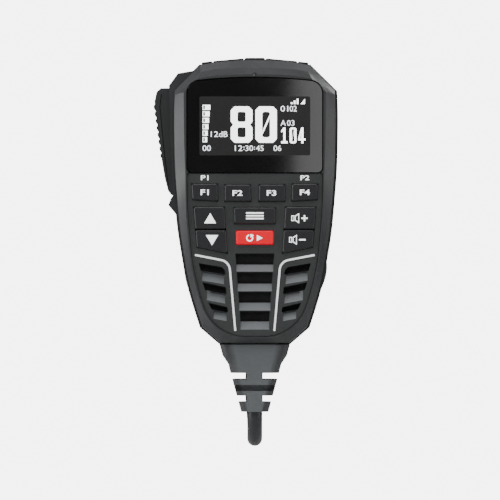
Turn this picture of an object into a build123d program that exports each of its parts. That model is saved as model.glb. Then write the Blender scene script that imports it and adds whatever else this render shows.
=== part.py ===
from build123d import *
import math
import os

os.makedirs("parts", exist_ok=True)

# Hand microphone with a display, ten keys, a loudspeaker and a push-to-talk bar.
# Frame: +X to the user's right, +Y out of the back, +Z up. The origin is the centre
# of the hang-up button's head. All sizes are in millimetres.

# ---- driving dimensions ----
BACK = -4.25            # rear face of the body
SEAM_REAR = -20.0       # rear cover's rim
SEAM_FRONT = -20.5      # front shell's rim, the seal lies between the two
DECK_BACK = -30.0       # rear face of the deck that carries lens and panel
DECK = -31.4            # front face of that deck
PANEL = -34.0           # front face of the panel
RIDGE = -34.4           # front edge of the bevelled frame
LENS = -34.3            # front face of the lens
WALL = 2.0              # casing wall
KEY_TOP = -34.7         # front face of a key at rest
KEY_TRAVEL = 0.8        # how far a key goes in
KEY_GAP = 0.15          # clearance round a key in the panel
CORD_D = 5.2            # cord diameter
CORD_Y = -20.95         # depth of the cord's axis at the strain relief
EXIT_Z = -93.1          # end of the strain relief
BUTTON_R = 8.0          # hang-up button's head
NECK_R = 4.5            # hang-up button's neck
SPK = (0.0, -49.5)      # loudspeaker centre
SPK_R = 13.5            # loudspeaker frame radius
BOARD_F = -28.8         # board's front face
BOARD_B = -27.2         # board's rear face
PIVOT = (-27.4, -15.5)  # push-to-talk pivot


def front(y):
    """Sketch plane that faces the user at depth y: local x is X, local y is Z."""
    return Plane.XZ.offset(-y)


def moved(points, d):
    """Closed ring of points, clockwise as the user sees it, grown outwards by d; d may be one number per edge."""
    n = len(points)
    ds = [d] * n if isinstance(d, (int, float)) else list(d)
    out = []
    for i in range(n):
        (x0, z0), (x1, z1), (x2, z2) = points[i - 1], points[i], points[(i + 1) % n]
        a, b = math.hypot(x1 - x0, z1 - z0), math.hypot(x2 - x1, z2 - z1)
        n1 = (-(z1 - z0) / a, (x1 - x0) / a)
        n2 = (-(z2 - z1) / b, (x2 - x1) / b)
        det = n1[0] * n2[1] - n1[1] * n2[0]
        d1, d2 = ds[i - 1], ds[i]
        if abs(det) < 1e-6:
            out.append((x1 + n1[0] * d1, z1 + n1[1] * d1))
        else:
            out.append((x1 + (d1 * n2[1] - d2 * n1[1]) / det, z1 + (n1[0] * d2 - n2[0] * d1) / det))
    return out


def flip(points):
    """The same points on the other side of the middle, in reverse order."""
    return [(-x, z) for x, z in reversed(points)]


def save(part, name):
    part.label = name
    export_step(part, "parts/" + name + ".step")


# ---- outlines, right half from the top middle to the bottom middle ----
SIDE = [(28.4, 17.3), (28.7, 9.4), (28.65, 1.0), (28.3, -11.0), (27.5, -21.3), (26.5, -31.5), (25.2, -39.7),
        (23.7, -47.9), (21.5, -56.1), (18.9, -64.2)]
REAR_TOP = [(0.0, 27.5), (10.0, 27.2), (19.2, 26.4)]
PANEL_U = [(23.0, -11.45), (22.8, -23.5), (22.0, -33.9), (20.9, -43.2), (19.4, -49.8), (17.3, -56.8), (15.4, -60.5),
           (12.9, -63.3), (10.2, -65.1), (6.3, -66.6), (0.0, -67.0)]
FRONT_TOP = [(0.0, 27.65), (8.0, 27.4), (15.0, 26.6), (19.0, 25.7)]
MID_TOP = [(0.0, 24.9), (8.0, 24.7), (14.8, 24.1), (18.4, 23.3)]
RIDGE_TOP = [(0.0, 22.5), (8.0, 22.3), (14.5, 21.8), (19.4, 21.0)]


def run_offset(points, d):
    """Open run of points, going down the right side, moved outwards by d."""
    out = []
    for i, (x, z) in enumerate(points):
        x0, z0 = points[max(i - 1, 0)]
        x1, z1 = points[min(i + 1, len(points) - 1)]
        length = math.hypot(x1 - x0, z1 - z0)
        out.append((x - (z1 - z0) / length * d, z + (x1 - x0) / length * d))
    return out


def casing(top, side, corner, floor_z):
    """Closed outline of the casing in eight edges: arch, shoulders, sides, lower corners and bottom."""
    with BuildLine() as line:
        arch = flip(top)[:-1] + top
        Spline(*arch)
        Line(top[-1], side[0])
        Spline(*side)
        Spline(*corner) if len(corner) > 2 else Line(*corner)
        if floor_z is None:
            Line(corner[-1], (-corner[-1][0], corner[-1][1]))
        else:
            Spline(corner[-1], (0, floor_z), (-corner[-1][0], corner[-1][1]))
        left_corner = flip(corner)
        Spline(*left_corner) if len(corner) > 2 else Line(*left_corner)
        Spline(*flip(side))
        Line((-side[0][0], side[0][1]), (-top[-1][0], top[-1][1]))
    return line


front_side = run_offset(SIDE, -1.0)
front_side[0] = (27.45, 17.2)
front_side[-1] = (17.9, -63.9)
front_line = casing(FRONT_TOP, front_side, [front_side[-1], (11.9, -69.4)], None)
mid_side = run_offset(SIDE, -1.15)
mid_side[0] = (27.25, 15.6)
mid_side[-1] = (17.75, -63.7)
mid_line = casing(MID_TOP, mid_side, [mid_side[-1], (11.8, -69.2)], None)
ridge_u = run_offset(PANEL_U[:-1] + [(0.0, -67.0)], 0.7)
ridge_side = [(24.25, 16.4), (24.2, 6.0), (24.0, -4.0)] + [ridge_u[0]] + ridge_u[1:6]
ridge_corner = ridge_u[5:9]
ridge_line = casing(RIDGE_TOP, ridge_side, ridge_corner, -67.7)
cavity_side = run_offset(SIDE, -3.0)
cavity_side[0] = (25.3, 16.2)
cavity_side[-1] = (16.4, -62.4)
cavity_line = casing([(0.0, 24.2), (8.0, 24.0), (14.0, 23.6), (18.0, 22.9)], cavity_side,
                     [cavity_side[-1], (11.0, -66.9)], None)


def lens_outline(gap):
    """Edge of the lens, or of its pocket, gap outside it."""
    with BuildLine() as line:
        ThreePointArc((-23.2 - gap, 19.9 + gap), (0, 21.5 + gap), (23.2 + gap, 19.9 + gap))
        Line((23.2 + gap, 19.9 + gap), (23.2 + gap, -11.2 - gap))
        Line((23.2 + gap, -11.2 - gap), (-23.2 - gap, -11.2 - gap))
        Line((-23.2 - gap, -11.2 - gap), (-23.2 - gap, 19.9 + gap))
    return line


def panel_outline(gap, top):
    """Edge of the face panel, or of its pocket, gap outside it."""
    right = [(x, z) for x, z in run_offset(PANEL_U, gap)]
    right[0] = (right[0][0], top)
    right[-1] = (0.0, -67.0 - gap)
    with BuildLine() as line:
        Spline(*(right[:-1] + flip(right)))
        Line((-right[0][0], top), (right[0][0], top))
    return line


# ---- keys: name, outline clockwise, and the sides that have no retaining flange ----
KEYS = {
    "key_f1": [(-21.6, -14.9), (-12.7, -14.9), (-12.6, -20.9), (-21.3, -20.4)],
    "key_f2": [(-10.3, -15.2), (-1.5, -15.2), (-1.3, -21.0), (-10.3, -21.0)],
    "key_f3": [(1.5, -15.2), (10.3, -15.2), (10.3, -21.0), (1.3, -21.0)],
    "key_f4": [(12.7, -14.9), (21.6, -14.9), (21.3, -20.4), (12.6, -20.9)],
    "key_menu": [(-7.15, -23.0), (7.15, -23.0), (7.0, -28.6), (-7.0, -28.6)],
    "key_replay": [(-6.4, -31.0), (6.4, -31.0), (6.3, -35.6), (-6.3, -35.6)],
    "key_up": [(-20.9, -22.8), (-10.4, -22.8), (-9.95, -30.4), (-20.3, -30.4)],
    "key_down": [(-20.25, -30.7), (-9.9, -30.7), (-9.35, -38.7), (-19.75, -36.6)],
    "key_volume_up": [(10.4, -22.8), (20.9, -22.8), (20.3, -30.4), (9.95, -30.4)],
    "key_volume_down": [(9.9, -30.7), (20.25, -30.7), (19.75, -36.6), (9.35, -38.7)],
}
JOINED = {"key_up": 2, "key_down": 0, "key_volume_up": 2, "key_volume_down": 0}  # the edge that lies along its neighbour
PAIRS = [
    [(-20.9, -22.8), (-10.4, -22.8), (-9.95, -30.4), (-9.35, -38.7), (-19.75, -36.6), (-20.3, -30.4)],
    [(10.4, -22.8), (20.9, -22.8), (20.3, -30.4), (19.75, -36.6), (9.35, -38.7), (9.95, -30.4)],
]
# loudspeaker slots: four across the middle, three sloping ones on each side
MID_SLOTS = [(6.65, 6.3, -38.7, -42.5, -44.9), (6.1, 5.85, -45.1, -49.0, -51.6), (5.6, 5.35, -51.8, -55.5, -58.2),
             (5.1, 4.9, -58.4, -61.9, -64.7)]
SIDE_SLOTS = [
    [(-19.1, -42.0), (-11.4, -43.3), (-10.4, -44.2), (-9.9, -45.9), (-18.5, -44.5)],
    [(-17.9, -48.5), (-9.9, -50.2), (-9.65, -52.5), (-17.0, -51.2)],
    [(-15.9, -55.5), (-9.4, -57.0), (-9.15, -58.8), (-14.7, -57.8)],
]
SIDE_BARS = [  # sloping lit bar under each side slot: left x, its upper z, right x, its upper z, height
    (-18.0, -44.6, -10.5, -45.85, 3.3), (-16.4, -51.3, -10.1, -52.45, 3.3), (-14.1, -57.95, -9.6, -58.75, 3.0)]

# ---- front shell: bevelled frame, deck, pockets, bosses ----
SCREWS = [(18.2, 17.6), (-18.2, 17.6), (16.4, -57.0), (-16.4, -57.0)]
with BuildPart() as front_shell:
    with BuildSketch(front(SEAM_FRONT)):
        add(front_line.line)
        make_face()
    extrude(amount=27.0 + SEAM_FRONT)
    with BuildSketch(front(-27.0)):
        add(front_line.line)
        make_face()
    with BuildSketch(front(DECK)):
        add(mid_line.line)
        make_face()
    loft(ruled=True)
    with BuildSketch(front(DECK)):
        add(mid_line.line)
        make_face()
    with BuildSketch(front(RIDGE)):
        add(ridge_line.line)
        make_face()
    loft(ruled=True)
    with BuildSketch(front(SEAM_FRONT)):
        add(cavity_line.line)
        make_face()
    extrude(amount=SEAM_FRONT - DECK_BACK, mode=Mode.SUBTRACT)
    with BuildSketch(front(DECK)) as lens_pocket:
        add(lens_outline(0.2).line)
        make_face()
        fillet(lens_pocket.vertices().group_by(Axis.Y)[-1], 4.6)
        fillet(lens_pocket.vertices().group_by(Axis.Y)[0], 1.9)
    extrude(amount=4, mode=Mode.SUBTRACT)
    with BuildSketch(front(DECK)):
        add(panel_outline(0.2, -11.2).line)
        make_face()
    extrude(amount=4, mode=Mode.SUBTRACT)
    with BuildSketch(front(DECK_BACK)):
        with Locations((0, 4.85)):
            Rectangle(38.0, 21.8)
        add(panel_outline(-0.9, -13.6).line)
        make_face()
    extrude(amount=1.4, mode=Mode.SUBTRACT)
    with BuildSketch(front(DECK_BACK)):
        with Locations(*SCREWS):
            Circle(2.6)
    extrude(amount=-(SEAM_FRONT - DECK_BACK))
    with BuildSketch(front(SEAM_FRONT)):
        with Locations(*SCREWS):
            Circle(1.0)
    extrude(amount=7.5, mode=Mode.SUBTRACT)
    with BuildSketch(front(DECK_BACK)):
        with Locations((0, 22.45)):
            Circle(0.6)
    extrude(amount=6, mode=Mode.SUBTRACT)
    # the gland's other half
    with BuildSketch(Plane.XY.offset(-70.5)):
        with Locations((0, -23.2)):
            Rectangle(17.0, 5.7)
    extrude(amount=6.0, mode=Mode.SUBTRACT)
save(front_shell.part, "front_shell")
print("front_shell", front_shell.part.is_valid, len(front_shell.part.solids()), round(front_shell.part.volume, 1))

# ---- face panel with key openings, loudspeaker slots and accent grooves ----
ACCENT = [(-20.4, -39.2), (-8.74, -41.46), (-6.65, -65.1)]


def accent_line(side):
    with BuildLine() as line:
        FilletPolyline(*[(x * side, z) for x, z in ACCENT], radius=3.6)
    return line


def wedge(x0, z0, x1, z1, high, deep):
    """Lit bar under a slot: a cut that starts deep along its upper edge and runs out to the panel's face below."""
    sections = []
    for x, z in ((x0, z0), (x1, z1)):
        sections.append(Face(Wire.make_polygon([(x, PANEL - 0.5, z), (x, PANEL + deep, z), (x, PANEL - 0.5, z - high)])))
    return Solid.make_loft([f.outer_wire() for f in sections], True)


with BuildPart() as face_panel:
    with BuildSketch(front(DECK)):
        add(panel_outline(0.0, -11.45).line)
        make_face()
    extrude(amount=DECK - PANEL)
    with BuildSketch(front(DECK)):
        for name, points in KEYS.items():
            if name not in JOINED:
                Polygon(*moved(points, KEY_GAP), align=None)
        for points in PAIRS:
            Polygon(*moved(points, KEY_GAP), align=None)
        for top_w, bottom_w, z0, z1, _ in MID_SLOTS:
            Polygon((-top_w, z0), (top_w, z0), (bottom_w, z1), (-bottom_w, z1), align=None)
        for points in SIDE_SLOTS:
            Polygon(*points, align=None)
            Polygon(*flip(points), align=None)
    extrude(amount=4, mode=Mode.SUBTRACT)
    for top_w, bottom_w, z0, z1, z2 in MID_SLOTS:
        add(wedge(-bottom_w, z1 + 0.05, bottom_w, z1 + 0.05, (z1 - z2) * 1.42, 1.2), mode=Mode.SUBTRACT)
    for x0, z0, x1, z1, high in SIDE_BARS:
        add(wedge(x0, z0, x1, z1, high * 1.42, 1.2), mode=Mode.SUBTRACT)
        add(wedge(-x1, z1, -x0, z0, high * 1.42, 1.2), mode=Mode.SUBTRACT)
    with BuildSketch(front(PANEL + 0.4)):
        for side in (1, -1):
            add(accent_line(side).line)
            trace(line_width=0.66)
    extrude(amount=1, mode=Mode.SUBTRACT)
save(face_panel.part, "face_panel")
print("face_panel", face_panel.part.is_valid, len(face_panel.part.solids()), round(face_panel.part.volume, 1))

with BuildPart() as accent_trims:
    for side in (1, -1):
        with BuildSketch(front(PANEL + 0.4)):
            add(accent_line(side).line)
            trace(line_width=0.66)
        extrude(amount=0.52)
save(accent_trims.part, "accent_trims")

# ---- display: lens, its adhesive frame, panel module, holder and flex ----
with BuildPart() as display_lens:
    with BuildSketch(front(DECK - 0.3)) as s:
        add(lens_outline(0.0).line)
        make_face()
        fillet(s.vertices().group_by(Axis.Y)[-1], 4.5)
        fillet(s.vertices().group_by(Axis.Y)[0], 1.8)
    extrude(amount=DECK - 0.3 - LENS)
    chamfer(display_lens.faces().sort_by(Axis.Y)[0].edges(), 0.25)
save(display_lens.part, "display_lens")

with BuildPart() as lens_gasket:
    with BuildSketch(front(DECK)) as s:
        add(lens_outline(-0.4).line)
        make_face()
        fillet(s.vertices().group_by(Axis.Y)[-1], 4.2)
        with Locations((0, 4.85)):
            Rectangle(38.6, 22.4, mode=Mode.SUBTRACT)
        with Locations((0, 22.0)):
            Circle(1.2, mode=Mode.SUBTRACT)
    extrude(amount=0.3)
save(lens_gasket.part, "lens_gasket")

with BuildPart() as oled_panel:
    with BuildSketch(front(DECK_BACK)):
        with Locations((0, 4.85)):
            Rectangle(37.4, 21.2)
    extrude(amount=1.5)
save(oled_panel.part, "oled_panel")

with BuildPart() as display_holder:
    with BuildSketch(front(BOARD_F)):
        with Locations((0, 4.85)):
            Rectangle(41.0, 25.0)
            Rectangle(30.0, 14.0, mode=Mode.SUBTRACT)
        with Locations(*SCREWS[:2]):
            Circle(2.9, mode=Mode.SUBTRACT)
        with Locations((0, -6.0)):
            Rectangle(12.4, 8.0, mode=Mode.SUBTRACT)
    extrude(amount=BOARD_F - DECK_BACK)
save(display_holder.part, "display_holder")

with BuildPart() as display_flex:
    with BuildSketch(front(BOARD_F)):
        with Locations((0, -5.7)):
            Rectangle(11.0, 6.0)
    extrude(amount=0.3)
    with BuildSketch(front(BOARD_F - 0.3)):
        with Locations((0, -2.9)):
            Rectangle(11.0, 0.4)
    extrude(amount=0.7)
save(display_flex.part, "display_flex")

# ---- main board and what is on it ----
BOARD_SCREWS = [(22.4, 2.0), (-22.4, 2.0)]
with BuildPart() as main_board:
    with BuildSketch(front(BOARD_B)):
        Polygon((-24.0, 14.5), (-15.2, 14.5), (-15.2, 17.9), (15.2, 17.9), (15.2, 14.5), (24.0, 14.5), (24.6, 0.0), (23.6, -20.0),
                (21.6, -37.0), (-21.6, -37.0), (-23.6, -20.0), (-24.6, 0.0), align=None)
        with Locations(SPK):
            Circle(SPK_R + 0.8, mode=Mode.SUBTRACT)
        with Locations(*BOARD_SCREWS):
            Circle(1.0, mode=Mode.SUBTRACT)
    extrude(amount=BOARD_B - BOARD_F)
save(main_board.part, "main_board")

with BuildPart() as board_screws:
    with BuildSketch(front(BOARD_B)):
        with Locations(*BOARD_SCREWS):
            Circle(1.0)
    extrude(amount=BOARD_B - DECK_BACK)
    with BuildSketch(front(BOARD_B)):
        with Locations(*BOARD_SCREWS):
            Circle(1.9)
            Circle(0.6, mode=Mode.SUBTRACT)
    extrude(amount=-1.1)
save(board_screws.part, "board_screws")

with BuildPart() as shield_can:
    with BuildSketch(front(BOARD_B)):
        with Locations((7.5, 4.0)):
            RectangleRounded(20.0, 16.0, 1.0)
    extrude(amount=-2.6)
    with BuildSketch(front(BOARD_B)):
        with Locations((7.5, 4.0)):
            Rectangle(19.2, 15.2)
    extrude(amount=-2.2, mode=Mode.SUBTRACT)
save(shield_can.part, "shield_can")

with BuildPart() as control_chips:
    for x, z, w, h, t in ((7.5, 4.0, 9.0, 9.0, 1.2), (-8.5, -10.0, 7.0, 7.0, 1.1), (10.0, -14.0, 5.0, 6.0, 1.4),
                          (-14.0, -22.0, 4.0, 5.0, 1.3)):
        with BuildSketch(front(BOARD_B)):
            with Locations((x, z)):
                Rectangle(w, h)
        extrude(amount=-t)
save(control_chips.part, "control_chips")

with BuildPart() as ptt_switch:
    with BuildSketch(front(BOARD_B)):
        with Locations((-19.4, 9.5)):
            Rectangle(5.0, 6.5)
    extrude(amount=-4.2)
    with BuildSketch(Plane.YZ.offset(-21.9)):
        with Locations((BOARD_B + 2.0, 9.5)):
            Circle(1.4)
    extrude(amount=-0.7)
save(ptt_switch.part, "ptt_switch")

with BuildPart() as lead_connector:
    with BuildSketch(front(BOARD_B)):
        with Locations((0, -29.0)):
            Rectangle(12.0, 5.0)
    extrude(amount=-4.6)
    chamfer(lead_connector.faces().sort_by(Axis.Y)[-1].edges(), 0.4)
save(lead_connector.part, "lead_connector")

# ---- keypad: rubber membrane, metal domes, ten key caps ----
MEMBRANE = (-29.9, -29.2)


def middle(points):
    return (sum(x for x, _ in points) / len(points), sum(z for _, z in points) / len(points))


KEY_MID = {name: middle(points) for name, points in KEYS.items()}
with BuildPart() as keypad_membrane:
    with BuildSketch(front(MEMBRANE[1])):
        Polygon((-22.2, -13.9), (22.2, -13.9), (21.2, -30.0), (20.6, -36.9), (-20.6, -36.9), (-21.2, -30.0), align=None)
        with Locations(SPK):
            Circle(SPK_R + 0.8, mode=Mode.SUBTRACT)
    extrude(amount=MEMBRANE[1] - MEMBRANE[0])
    with BuildSketch(front(MEMBRANE[0])):
        with Locations(*[p for n, p in KEY_MID.items()]):
            Circle(1.4)
    extrude(amount=0.25, taper=12)
save(keypad_membrane.part, "keypad_membrane")

with BuildPart() as dome_switches:
    with BuildSketch(front(BOARD_F)):
        with Locations(*[p for n, p in KEY_MID.items()]):
            Circle(1.6)
    extrude(amount=BOARD_F - MEMBRANE[1])
save(dome_switches.part, "dome_switches")

FLANGE = (-31.35, -30.95)
for name, points in KEYS.items():
    with BuildPart() as key:
        with BuildSketch(front(FLANGE[0])):
            Polygon(*points, align=None)
        extrude(amount=FLANGE[0] - KEY_TOP)
        fillet(key.edges().filter_by(Axis.Y), 0.7)
        chamfer(key.faces().sort_by(Axis.Y)[0].edges(), 0.35)
        with BuildSketch(front(FLANGE[1])):
            lip = [0.35] * 4
            if name in JOINED:
                lip[JOINED[name]] = 0.0
            Polygon(*moved(points, lip), align=None)
        extrude(amount=FLANGE[1] - FLANGE[0])
    save(key.part, name)
    if not key.part.is_valid or len(key.part.solids()) != 1:
        print("check", name)

# ---- loudspeaker and microphone capsule ----
with BuildPart() as speaker_cloth:
    with BuildSketch(front(-31.2)):
        add(panel_outline(-1.2, -13.0).line)
        make_face()
        with Locations((0, -20.0)):
            Rectangle(60.0, 40.4, mode=Mode.SUBTRACT)
        with Locations((0, -39.0)):
            Rectangle(16.6, 4.0)
    extrude(amount=0.2)
save(speaker_cloth.part, "speaker_cloth")

with BuildPart() as speaker_gasket:
    with BuildSketch(front(-30.6)):
        with Locations(SPK):
            Circle(SPK_R)
            Circle(SPK_R - 1.5, mode=Mode.SUBTRACT)
    extrude(amount=0.6)
save(speaker_gasket.part, "speaker_gasket")

with BuildPart() as speaker_frame:
    with BuildSketch(Plane.YZ):
        with BuildLine():
            Polyline((-30.6, SPK_R), (-28.6, SPK_R), (-28.6, SPK_R - 1.6), (-26.2, 9.4), (-25.2, 9.4), (-25.2, 6.0), (-26.0, 6.0),
                     (-26.0, 8.6), (-29.4, SPK_R - 1.4), (-30.6, SPK_R - 1.4), close=True)
        make_face()
    revolve(axis=Axis.Y)
speaker_frame.part.label = "speaker_frame"
export_step(speaker_frame.part.moved(Location((SPK[0], 0, SPK[1]))), "parts/speaker_frame.step")

with BuildPart() as speaker_cone:
    with BuildSketch(Plane.YZ):
        with BuildLine():
            Polyline((-30.5, SPK_R - 1.5), (-30.2, SPK_R - 1.5), (-29.7, SPK_R - 2.4), (-27.6, 5.4), (-29.2, 0.0), (-29.5, 0.0),
                     (-27.95, 5.2), (-29.95, SPK_R - 2.6), close=True)
        make_face()
    revolve(axis=Axis.Y)
speaker_cone.part.label = "speaker_cone"
export_step(speaker_cone.part.moved(Location((SPK[0], 0, SPK[1]))), "parts/speaker_cone.step")

with BuildPart() as speaker_magnet:
    with BuildSketch(front(-25.2)):
        with Locations(SPK):
            Circle(8.2)
    extrude(amount=-2.6)
    with BuildSketch(front(-25.2)):
        with Locations(SPK):
            Circle(5.0)
    extrude(amount=1.4)
    chamfer(speaker_magnet.faces().sort_by(Axis.Y)[-1].edges(), 0.4)
save(speaker_magnet.part, "speaker_magnet")

with BuildPart() as speaker_bracket:
    with BuildSketch(front(-22.6)):
        with Locations(SPK):
            Rectangle(33.0, 7.0)
    extrude(amount=-0.8)
    for side in (1, -1):
        with BuildSketch(front(-21.8)):
            with Locations((SPK[0] + side * 15.9, SPK[1])):
                Rectangle(1.2, 7.0)
        extrude(amount=8.2)
save(speaker_bracket.part, "speaker_bracket")

with BuildPart() as mic_capsule:
    with BuildSketch(front(-26.0)):
        with Locations((0, 21.0)):
            Circle(2.2)
    extrude(amount=2.4)
save(mic_capsule.part, "mic_capsule")

with BuildPart() as mic_boot:
    with BuildSketch(front(-26.0)):
        with Locations((0, 21.0)):
            Circle(2.9)
            Circle(2.2, mode=Mode.SUBTRACT)
    extrude(amount=2.4)
    with BuildSketch(front(-28.4)):
        with Locations((0, 21.0)):
            Circle(2.9)
        with Locations((0, 22.45)):
            Circle(0.6, mode=Mode.SUBTRACT)
    extrude(amount=1.6)
save(mic_boot.part, "mic_boot")

# ---- rear cover: casing with the push-to-talk bay on its left, bosses, cord gland ----
PTT_Y = (-5.85, -18.15)     # the bay's two side walls
PTT_TOP, PTT_FOOT = 18.8, -19.2
LEFT_BUMP = [(-27.2, -25.2), (-29.8, -22.0), (-28.9, -19.6), (-28.3, -18.9)]
with BuildPart() as rear_cover:
    with BuildSketch(front(BACK)):
        with BuildLine():
            right = SIDE
            Polyline((-21.2, 24.3), (-19.2, 26.4), (-10.0, 27.2), (0.0, 27.5), (10.0, 27.2), (19.2, 26.4), right[0])
            Spline(*right)
            Polyline(right[-1], (12.3, -69.9), (-12.3, -69.9), (-18.9, -64.2))
            Spline(*([(-x, z) for x, z in reversed(right[6:])] + [(-26.5, -31.5), LEFT_BUMP[0]]))
            Polyline(*LEFT_BUMP, (-28.6, -10.0), (-29.1, 0.0), (-29.3, 10.0), (-29.6, 19.2), (-26.5, 23.4), (-21.2, 24.3))
        make_face()
    extrude(amount=BACK - SEAM_REAR)
    chamfer(rear_cover.faces().sort_by(Axis.Y)[-1].edges(), 1.6)
    with BuildSketch(front(BACK - WALL)):
        add(cavity_line.line)
        make_face()
    extrude(amount=20, mode=Mode.SUBTRACT)
    with BuildSketch(front(BACK)):
        with Locations(*SCREWS):
            Circle(3.2)
    extrude(amount=BACK - SEAM_REAR)
    with BuildSketch(front(BACK)):
        with Locations(*SCREWS):
            Circle(1.3)
    extrude(amount=20, mode=Mode.SUBTRACT)
    with BuildSketch(front(BACK)):
        with Locations(*SCREWS):
            Circle(2.4)
    extrude(amount=3.6, mode=Mode.SUBTRACT)
    # bay for the push-to-talk bar, and the holes for its pivot pin
    with BuildSketch(front(PTT_Y[0])):
        Polygon((-32.0, PTT_TOP), (-24.0, PTT_TOP), (-24.0, PTT_FOOT), (-32.0, PTT_FOOT), align=None)
    extrude(amount=PTT_Y[0] - PTT_Y[1], mode=Mode.SUBTRACT)
    with BuildSketch(front(PTT_Y[0] + 1.0)):
        with Locations(PIVOT):
            Circle(0.9)
    extrude(amount=PTT_Y[0] - PTT_Y[1] + 2.0, mode=Mode.SUBTRACT)
    # seat of the hang-up button and its screw
    with BuildSketch(front(BACK - WALL)):
        Circle(6.0)
    extrude(amount=1.4)
    with BuildSketch(front(BACK)):
        Circle(1.6)
    extrude(amount=6, mode=Mode.SUBTRACT)
    # gland: the opening in the lower end that holds the strain relief's collar
    with BuildSketch(Plane.XY.offset(-70.5)):
        with Locations((0, -18.2)):
            Rectangle(17.0, 4.6)
    extrude(amount=6.0, mode=Mode.SUBTRACT)
    # posts that the cord clamp is screwed to
    with BuildSketch(front(BACK - WALL)):
        with Locations((-8.0, -31.0), (8.0, -31.0)):
            Circle(2.4)
    extrude(amount=9.0)
    with BuildSketch(front(BACK - WALL)):
        with Locations((-8.0, -31.0), (8.0, -31.0)):
            Circle(0.9)
    extrude(amount=12.0, mode=Mode.SUBTRACT)
save(rear_cover.part, "rear_cover")
print("rear_cover", rear_cover.part.is_valid, len(rear_cover.part.solids()), round(rear_cover.part.volume, 1))

with BuildPart() as top_bumper:
    with BuildSketch(front(-7.0)):
        Polygon((-18.4, 26.49), (-18.3, 27.25), (-14.9, 27.65), (-14.5, 27.2), (-14.1, 27.75), (-4.1, 28.65), (-3.7, 28.2), (-3.2, 28.85),
                (3.2, 28.85), (3.7, 28.2), (4.1, 28.65), (14.4, 27.7), (14.8, 27.15), (15.2, 27.55), (18.4, 27.2), (18.5, 26.48),
                (10.0, 27.2), (0.0, 27.5), (-10.0, 27.2), align=None)
    extrude(amount=11.0)
save(top_bumper.part, "top_bumper")

with BuildPart() as perimeter_seal:
    with BuildSketch(front(SEAM_REAR)):
        with BuildLine():
            add(cavity_line.line.scale(1.026))
        make_face()
        add(cavity_line.line)
        make_face(mode=Mode.SUBTRACT)
        with Locations((0, -66.0)):
            Rectangle(17.4, 12.0, mode=Mode.SUBTRACT)
    extrude(amount=SEAM_REAR - SEAM_FRONT)
save(perimeter_seal.part, "perimeter_seal")

with BuildPart() as rear_screws:
    with BuildSketch(front(BACK - 3.6)):
        with Locations(*SCREWS):
            Circle(1.0)
    extrude(amount=19.6)
    with BuildSketch(front(BACK - 3.6)):
        with Locations(*SCREWS):
            Circle(2.2)
    extrude(amount=-1.6)
    with BuildSketch(front(BACK - 2.0)):
        with Locations(*SCREWS):
            RegularPolygon(0.9, 6)
    extrude(amount=0.9, mode=Mode.SUBTRACT)
save(rear_screws.part, "rear_screws")

# ---- push-to-talk bar: hard lever, rubber grip, pivot pin ----
GRIP_IN = [(-30.6, 17.6), (-32.0, 16.4), (-32.6, 12.0), (-31.0, -5.0), (-29.6, -16.0)]
with BuildPart() as ptt_lever:
    with BuildSketch(front(-6.0)):
        Polygon((-27.9, 18.3), (-29.6, 18.4), *GRIP_IN, (-28.9, -18.4), (-27.9, -18.6), (-27.0, -18.6), (-25.9, -17.4), (-25.9, -13.6),
                (-27.0, -12.4), (-27.9, -12.4), align=None)
    extrude(amount=12.0)
    with BuildSketch(front(-6.0)):
        with Locations(PIVOT):
            Circle(0.95)
    extrude(amount=12.0, mode=Mode.SUBTRACT)
    with BuildSketch(front(-9.0)):
        Polygon((-27.9, 15.0), (-29.8, 15.0), (-29.8, -8.0), (-27.9, -8.0), align=None)
    extrude(amount=6.0, mode=Mode.SUBTRACT)
    # arm that reaches round inside the casing to the switch
    with BuildSketch(front(-15.2)):
        Polygon((-28.5, 8.0), (-28.5, 11.0), (-24.2, 11.0), (-24.2, 8.0), align=None)
    extrude(amount=2.6)
    with BuildSketch(front(-17.8)):
        Polygon((-25.3, 8.0), (-25.3, 11.0), (-24.2, 11.0), (-24.2, 8.0), align=None)
    extrude(amount=8.4)
save(ptt_lever.part, "ptt_lever")
print("ptt_lever", ptt_lever.part.is_valid, len(ptt_lever.part.solids()))

teeth = []
for i in range(8):
    z = 12.0 - i * 2.4
    x = -34.9 + (12.0 - z) * 0.137
    teeth += [(x + 0.36, z + 0.75), (x, z + 0.25), (x + 0.05, z - 0.6), (x + 0.42, z - 1.1)]
with BuildPart() as ptt_grip:
    with BuildSketch(front(-6.0)):
        Polygon((-29.8, 18.4), (-32.4, 18.35), (-33.9, 17.1), (-34.6, 13.9), *teeth, (-32.1, -6.6), (-31.1, -12.5), (-29.95, -17.0),
                (-28.9, -18.4), *reversed(GRIP_IN), align=None)
    extrude(amount=12.0)
    chamfer(ptt_grip.faces().sort_by(Axis.Y)[0].edges().filter_by(lambda e: e.length > 3.0), 0.3)
save(ptt_grip.part, "ptt_grip")
print("ptt_grip", ptt_grip.part.is_valid, len(ptt_grip.part.solids()))

with BuildPart() as ptt_pin:
    with BuildSketch(front(PTT_Y[0] + 0.9)):
        with Locations(PIVOT):
            Circle(0.9)
    extrude(amount=PTT_Y[0] - PTT_Y[1] + 1.8)
save(ptt_pin.part, "ptt_pin")

# ---- hang-up button ----
with BuildPart() as hang_button:
    with BuildSketch(front(1.25)):
        Circle(BUTTON_R)
    extrude(amount=2.5)
    with BuildSketch(front(-1.25)):
        Circle(NECK_R)
    extrude(amount=3.0)
    with BuildSketch(front(0.0)):
        Circle(1.5)
    extrude(amount=5.0, mode=Mode.SUBTRACT)
    chamfer(hang_button.faces().sort_by(Axis.Y)[-1].edges(), 0.3)
save(hang_button.part, "hang_button")

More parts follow.
